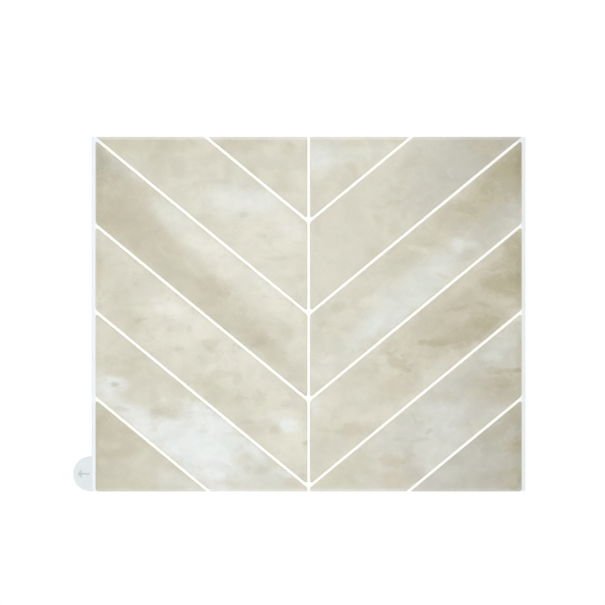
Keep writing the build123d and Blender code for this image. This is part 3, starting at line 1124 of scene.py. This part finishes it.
    def _round_rim(self, piece: bpy.types.Object) -> None:
        """Round the tile, in edit mode, over where it meets the joints."""
        pick_edges(piece, self._is_rim)
        bpy.ops.mesh.bevel(offset=self.rim_radius, offset_type="OFFSET", segments=self.rim_steps,
                           affect="EDGES", clamp_overlap=False)

    def _bevel_cut_edges(self, piece: bpy.types.Object) -> None:
        """Slice the tile's upper edge off where the sheet's top or bottom edge cuts it.

        Args:
            piece: The block in edit mode.
        """
        ridge = self.layout.half_height - self.layout.bevel_width
        for up in (1.0, -1.0):
            # Bisect measures its threshold along the normal as given, so the normal has a length of 1
            outward = Vector((0.0, up * self.bevel_drop, self.layout.bevel_width)).normalized()
            bpy.ops.mesh.select_all(action="SELECT")
            bpy.ops.mesh.bisect(plane_co=(0.0, up * ridge, self._top()), plane_no=outward, clear_outer=True,
                                threshold=NEAR)
            if pick_edges(piece, lambda edge: edge.is_boundary):
                bpy.ops.mesh.edge_face_add()
                bpy.ops.mesh.mark_sharp()

    def _divide_top(self, piece: bpy.types.Object) -> None:
        """Cut the flat top into cells, so that it can ripple.

        Args:
            piece: The tile in edit mode.
        """
        low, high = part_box(self.node(Side.RIGHT))
        top = high.z

        def on_top(face: bmesh.types.BMFace) -> bool:
            """True for a level face at the tile's height."""
            return face.normal.z > LEVEL and face.calc_center_median().z > top - NEAR

        for axis in (0, 1):
            for step in range(1, int((high[axis] - low[axis]) / self.cell) + 1):
                place = Vector((0.0, 0.0, top))
                place[axis] = low[axis] + step * self.cell
                pick_faces(piece, on_top)
                bpy.ops.mesh.bisect(plane_co=place, plane_no=(1.0 - axis, axis, 0.0), threshold=NEAR)

    def _mirrored(self, right: bpy.types.Object) -> bpy.types.Object:
        """A copy of the right tile on the left half, with its own mesh.

        Args:
            right: The right tile in object mode.

        Returns:
            The left tile.
        """
        take(right)
        bpy.ops.object.duplicate(linked=False)
        left = bpy.context.object
        left.name = left.data.name = f"gel_{self.node(Side.LEFT)}"
        left.scale.x = -1.0
        bpy.ops.object.transform_apply(location=False, rotation=False, scale=True)
        with editing(left):
            face_outwards()
        return left

    def _ripple(self, piece: bpy.types.Object, side: Side) -> None:
        """Give the poured top its slow unevenness.

        Args:
            piece: The tile in object mode.
            side: The tile's half of the chevron.
        """
        mesh = piece.data
        held = {index for face in mesh.polygons if face.normal.z < LEVEL for index in face.vertices}
        for edge in mesh.edges:
            start, end = (mesh.vertices[index].co for index in edge.vertices)
            if (end - start).length < self.short_edge:
                held.update(edge.vertices)
        free = [vertex.index for vertex in mesh.vertices
                if vertex.co.z > self._top() - NEAR and vertex.index not in held]
        piece.vertex_groups.new(name="top").add(free, 1.0, "REPLACE")
        texture = bpy.data.textures.new(f"{self.node(side)}_ripple", "CLOUDS")
        texture.noise_scale = self.ripple_length
        texture.noise_depth = self.ripple_octaves
        apply_modifier(piece, "DISPLACE", texture=texture, texture_coords="LOCAL", direction="Z",
                       vertex_group="top", strength=self.ripple_height, mid_level=0.5)


@dataclass
class BackingFilm:
    """The white film that carries the tiles. The CAD sheet has its shape, so only its finish is added."""

    layout: SheetLayout
    finish: FilmFinish = FilmFinish()

    def dress(self) -> bpy.types.Object:
        """Give the film its finish.

        Returns:
            The film's CAD object.
        """
        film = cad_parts["backing_film"]
        film.data.materials.clear()
        film.data.materials.append(self.finish.material(self.layout.outer_x, self.layout.half_height))
        return film


@dataclass
class ReleaseLiner:
    """The liner under the film, with a half-round peel tab that lifts a little and an arrow printed on it."""

    finish: LinerFinish = LinerFinish()
    ink: InkFinish = InkFinish()
    tab_radius: float = 11.7 * MM
    tab_reach: float = 12.4 * MM
    corner_radius: float = 1.0 * MM
    corner_steps: int = 6
    smooth_angle: float = radians(30)
    tab_steps: int = 32
    curl_cuts: int = 4
    curl_step: float = radians(0.9)
    arrow_length: float = 8.2 * MM
    arrow_head: float = 2.9 * MM
    arrow_line: float = 0.95 * MM
    arrow_gap: float = 1.4 * MM
    arrow_cuts: int = 6
    arrow_drop: float = 5 * MM
    ink_height: float = 0.01 * MM

    def __post_init__(self) -> None:
        """Take the liner's place from the frame."""
        self.low, self.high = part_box("release_liner")
        self.edge_x = -self.high.x
        self.tab_middle = self.low.y + self.tab_radius
        self.disc_x = self.edge_x - self.tab_reach + self.tab_radius

    def build(self) -> tuple[bpy.types.Object, bpy.types.Object]:
        """Model the liner and its printed arrow.

        Returns:
            The liner and the arrow.
        """
        liner = new_plane("release_paper", (self.edge_x, self.low.y), (self.high.x, self.high.y), self.low.z)
        with editing(liner):
            self._round_corners(liner)
            self._add_tab(liner)
            self._curl_tab(liner)
            face_up(liner)
        apply_modifier(liner, "SOLIDIFY", thickness=self.high.z - self.low.z, offset=1.0)
        take(liner)
        bpy.ops.object.shade_smooth_by_angle(angle=self.smooth_angle)
        return liner, self._arrow(liner)

    def dress(self, liner: bpy.types.Object, arrow: bpy.types.Object) -> None:
        """Give the paper and its ink their finishes and put the paper in the CAD liner's place.

        Args:
            liner: The modelled liner.
            arrow: The printed arrow.
        """
        liner.data.materials.append(self.finish.material())
        arrow.data.materials.append(self.ink.material())
        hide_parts("release_liner")
        for piece in (liner, arrow):
            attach(piece, BODY)

    def _round_corners(self, liner: bpy.types.Object) -> None:
        """Round the liner's corners, apart from the one that the tab grows out of.

        Args:
            liner: The plane in edit mode.
        """
        tab_corner = Vector((self.edge_x, self.low.y, self.low.z))
        pick_vertices(liner, lambda vertex: (vertex.co - tab_corner).length > NEAR)
        bpy.ops.mesh.bevel(offset=self.corner_radius, offset_type="OFFSET", segments=self.corner_steps,
                           affect="VERTICES")

    def _add_tab(self, liner: bpy.types.Object) -> None:
        """Grow the tab out of the left edge: a short neck, then a half disc spun about the neck's end.

        Args:
            liner: The sheet in edit mode.
        """
        for height in (self.tab_middle, self.tab_middle + self.tab_radius):
            bpy.ops.mesh.select_all(action="SELECT")
            bpy.ops.mesh.bisect(plane_co=(0.0, height, self.low.z), plane_no=(0.0, 1.0, 0.0), threshold=NEAR)
        tab_top = self.tab_middle + self.tab_radius + NEAR

        def on_neck(edge: bmesh.types.BMEdge) -> bool:
            """True for the left edge's stretch where the tab starts."""
            return all(abs(end.co.x - self.edge_x) < NEAR and end.co.y < tab_top for end in edge.verts)

        pick_edges(liner, on_neck)
        shift = (self.disc_x - self.edge_x, 0.0, 0.0)
        bpy.ops.mesh.extrude_region_move(TRANSFORM_OT_translate={"value": shift})

        def upper_radius(edge: bmesh.types.BMEdge) -> bool:
            """True for the upper half of the neck's end."""
            return all(abs(end.co.x - self.disc_x) < NEAR and end.co.y > self.tab_middle - NEAR
                       for end in edge.verts)

        pick_edges(liner, upper_radius)
        bpy.ops.mesh.spin(steps=self.tab_steps, angle=-pi, center=(self.disc_x, self.tab_middle, self.low.z),
                          axis=(0.0, 0.0, 1.0))
        bpy.ops.mesh.select_all(action="SELECT")
        bpy.ops.mesh.remove_doubles(threshold=NEAR)

    def _curl_tab(self, liner: bpy.types.Object) -> None:
        """Lift the tab a little more at each of a few creases, so that a finger gets under it.

        Args:
            liner: The sheet in edit mode.
        """
        for step in range(self.curl_cuts):
            crease = self.edge_x - step * self.tab_reach / self.curl_cuts
            bpy.ops.mesh.select_all(action="SELECT")
            bpy.ops.mesh.bisect(plane_co=(crease, 0.0, self.low.z), plane_no=(1.0, 0.0, 0.0), threshold=NEAR)
            pick_vertices(liner, lambda vertex: vertex.co.x < crease - NEAR)
            pivot = (crease, self.tab_middle, self.low.z)
            bpy.ops.transform.rotate(value=-self.curl_step, orient_axis="Y", center_override=pivot)

    def _arrow(self, liner: bpy.types.Object) -> bpy.types.Object:
        """The arrow that shows which way to peel, made above the tab and laid down on it.

        Args:
            liner: The finished liner.

        Returns:
            The arrow's thin mesh.
        """
        start = self.edge_x - self.arrow_gap
        low = (start - self.arrow_length + self.arrow_head, self.tab_middle - self.arrow_line / 2)
        high = (start, self.tab_middle + self.arrow_line / 2)
        above = self.high.z + self.arrow_drop
        arrow = new_plane("peel_arrow", low, high, above)
        with editing(arrow):
            pick_edges(arrow, lambda edge: all(end.co.x < low[0] + NEAR for end in edge.verts))
            bpy.ops.mesh.extrude_region_move(TRANSFORM_OT_translate={"value": (0.0, 0.0, 0.0)})
            spread = 2 * self.arrow_head / self.arrow_line
            head_foot = (low[0], self.tab_middle, above)
            bpy.ops.transform.resize(value=(1.0, spread, 1.0), center_override=head_foot)
            bpy.ops.mesh.extrude_region_move(TRANSFORM_OT_translate={"value": (-self.arrow_head, 0.0, 0.0)})
            bpy.ops.mesh.merge(type="CENTER")
            bpy.ops.mesh.select_all(action="SELECT")
            bpy.ops.mesh.subdivide(number_cuts=self.arrow_cuts)
            face_up(arrow)
        apply_modifier(arrow, "SHRINKWRAP", target=liner, wrap_method="PROJECT", use_project_z=True,
                       use_negative_direction=True, use_positive_direction=False, offset=self.ink_height)
        return arrow


def seen_rays(bench: NodeBench) -> bpy.types.NodeSocket:
    """The rays that show the white studio: the camera's, and those that gloss and glass send on.

    Args:
        bench: The bench of the table's or the world's nodes.

    Returns:
        A mask that is 1 for those rays.
    """
    path = bench.add("ShaderNodeLightPath").outputs
    gloss = bench.maths("MAXIMUM", path["Is Camera Ray"], path["Is Glossy Ray"])
    return bench.maths("MAXIMUM", gloss, path["Is Transmission Ray"])


@dataclass(frozen=True)
class TableFinish:
    """A table that looks white, plain white far out, and still takes the sheet's shadow."""

    paint: float = 0.85
    shade: float = 0.3
    glow: float = 0.72
    plain_from: float = 0.3
    plain_to: float = 0.9

    def material(self) -> bpy.types.Material:
        """The table's finish.

        Returns:
            A material that lights the room as white paint and shows as a glowing white.
        """
        material = bpy.data.materials.new("table_white")
        material.use_nodes = True
        material.node_tree.nodes.clear()
        bench = NodeBench(material.node_tree)
        paint, shade = (bench.add("ShaderNodeBsdfDiffuse", {"Color": (grey, grey, grey, 1.0)}).outputs[0]
                        for grey in (self.paint, self.shade))
        glow, far_white = (bench.add("ShaderNodeEmission", {"Color": WHITE, "Strength": strength}).outputs[0]
                           for strength in (self.glow, 1.0))
        near_white = bench.add("ShaderNodeAddShader", {0: shade, 1: glow}).outputs[0]
        far = bench.ramp(bench.length(bench.position()), self.plain_from, self.plain_to)
        table = bench.add("ShaderNodeMixShader", {0: far, 1: near_white, 2: far_white}).outputs[0]
        shown = bench.add("ShaderNodeMixShader", {0: seen_rays(bench), 1: paint, 2: table}).outputs[0]
        bench.add("ShaderNodeOutputMaterial", {"Surface": shown})
        return material


@dataclass(frozen=True)
class Softbox:
    """An area lamp that faces the sheet. Its radiance is 1 where its face looks white."""

    name: str
    place: Triple
    size: Pair
    radiance: float
    in_gloss: bool = True

    def build(self) -> None:
        """Hang the lamp in its place."""
        lamp = bpy.data.lights.new(self.name, "AREA")
        lamp.shape = "RECTANGLE"
        lamp.size, lamp.size_y = self.size
        lamp.energy = self.radiance * pi * self.size[0] * self.size[1]
        holder = bpy.data.objects.new(self.name, lamp)
        holder.location = self.place
        holder.rotation_euler = (-Vector(self.place)).to_track_quat("-Z", "Y").to_euler()
        holder.visible_glossy = self.in_gloss
        bpy.context.scene.collection.objects.link(holder)


@dataclass
class Studio:
    """The white table, the lamps and the camera."""

    frame_width: float = 404.7 * MM
    lens: float = 100.0
    sensor: float = 36.0
    clip_start: float = 0.01
    aim: Pair = (-4.1 * MM, 7.8 * MM)
    table: TableFinish = TableFinish()
    floor_size: float = 8.0
    floor_drop: float = 0.02 * MM
    ambient: float = 0.25
    lamps: tuple[Softbox, ...] = (
        Softbox("overhead_panel", (0.0, 0.0, 2.4), (2.4, 2.4), 1.79, in_gloss=False),
        Softbox("left_softbox", (-0.95, 0.2, 1.25), (0.6, 0.9), 2.4),
        Softbox("right_softbox", (0.95, -0.1, 1.25), (0.6, 0.9), 1.8),
        Softbox("back_softbox", (0.0, 1.05, 0.8), (0.8, 0.35), 1.8),
        Softbox("front_softbox", (0.0, -1.07, 0.8), (0.8, 0.35), 1.8),
    )

    def build(self) -> None:
        """Set up everything around the object."""
        self._floor()
        self._world()
        for lamp in self.lamps:
            lamp.build()
        self._camera()
        bpy.context.scene.view_settings.view_transform = "Standard"

    def _floor(self) -> None:
        """A white table just under the sheet."""
        deselect_all()
        bpy.ops.mesh.primitive_plane_add(size=self.floor_size, location=(0.0, 0.0, -self.floor_drop))
        floor = bpy.context.object
        floor.name = "floor"
        floor.data.materials.append(self.table.material())

    def _world(self) -> None:
        """Soft light all round, and plain white where the camera or a reflection looks past the table."""
        world = bpy.data.worlds.new("studio")
        world.use_nodes = True
        world.node_tree.nodes.clear()
        bench = NodeBench(world.node_tree)
        light = bench.add("ShaderNodeBackground", {"Color": WHITE, "Strength": self.ambient}).outputs[0]
        white = bench.add("ShaderNodeBackground", {"Color": WHITE, "Strength": 1.0}).outputs[0]
        shown = bench.add("ShaderNodeMixShader", {0: seen_rays(bench), 1: light, 2: white}).outputs[0]
        bench.add("ShaderNodeOutputWorld", {"Surface": shown})
        bpy.context.scene.world = world

    def _camera(self) -> None:
        """A long lens that looks straight down on the sheet."""
        data = bpy.data.cameras.new("camera")
        data.lens = self.lens
        data.sensor_width = self.sensor
        data.clip_start = self.clip_start
        camera = bpy.data.objects.new("camera", data)
        camera.location = (*self.aim, self.frame_width * self.lens / self.sensor)
        bpy.context.scene.collection.objects.link(camera)
        bpy.context.scene.camera = camera


def tile_rows(layout: SheetLayout) -> list[TileRow]:
    """The rows of the chevron, not yet built, numbered from the top."""
    joints: list[Optional[float]] = [None, *layout.joints(), None]
    return [TileRow(layout, number, upper, lower)
            for number, (upper, lower) in enumerate(zip(joints, joints[1:]), start=1)]


def main() -> None:
    """Build the sheet's pieces in order, dress them and light them."""
    logging.basicConfig(level=logging.INFO, format="%(message)s")
    layout = SheetLayout()
    groups = PrintGroups.make(layout.half_height - layout.bevel_width)
    release_liner = ReleaseLiner()
    liner, arrow = release_liner.build()
    release_liner.dress(liner, arrow)
    log.info("built %s and %s", liner.name, arrow.name)
    film = BackingFilm(layout).dress()
    log.info("dressed %s", film.name)
    for row in tile_rows(layout):
        for side, tile in row.build().items():
            row.dress(tile, side, groups)
            log.info("built %s with %d faces", tile.name, len(tile.data.polygons))
    Studio().build()


if __name__ == "__main__":
    main()
